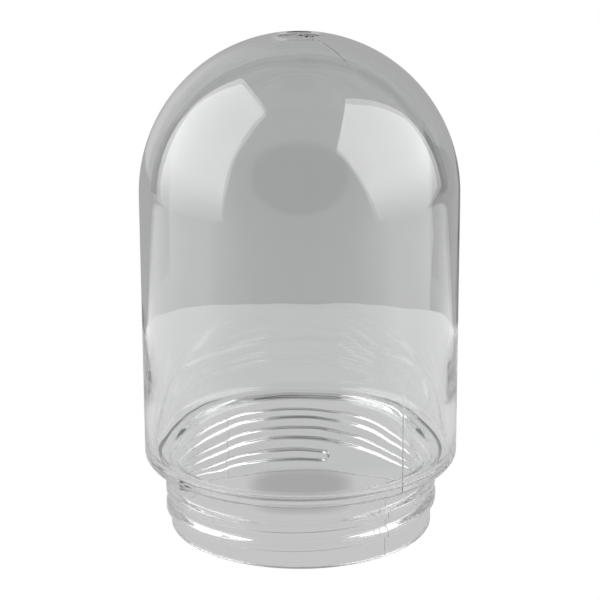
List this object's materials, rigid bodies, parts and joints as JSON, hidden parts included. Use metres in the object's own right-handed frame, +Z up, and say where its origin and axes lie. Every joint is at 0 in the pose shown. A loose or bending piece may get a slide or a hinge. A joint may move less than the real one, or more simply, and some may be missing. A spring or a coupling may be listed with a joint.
{
  "type": "threaded globe",
  "caption": "Clear moulded dome with a straight round body, a half-round crown and an open threaded neck that screws into a round holder.",
  "frame": {"origin": "centre of the neck's rim, the face that the dome stands on", "axes": "+Z up the dome's axis towards the crown; +X to the right as seen from the front, with -Y towards the viewer; the thread starts near the back, at 79 degrees counter-clockwise from +X"},
  "size_m": [0.0946, 0.0946, 0.149],
  "materials": {
    "crown_plastic": "clear gloss",
    "wall_plastic": "clear gloss",
    "ledge_plastic": "clear gloss",
    "neck_plastic": "clear gloss"
  },
  "bodies": {
    "root": {"dome_crown": "crown_plastic", "barrel_wall": "wall_plastic", "shoulder_ledge": "ledge_plastic", "threaded_neck": "neck_plastic"}
  },
  "joints": []
}
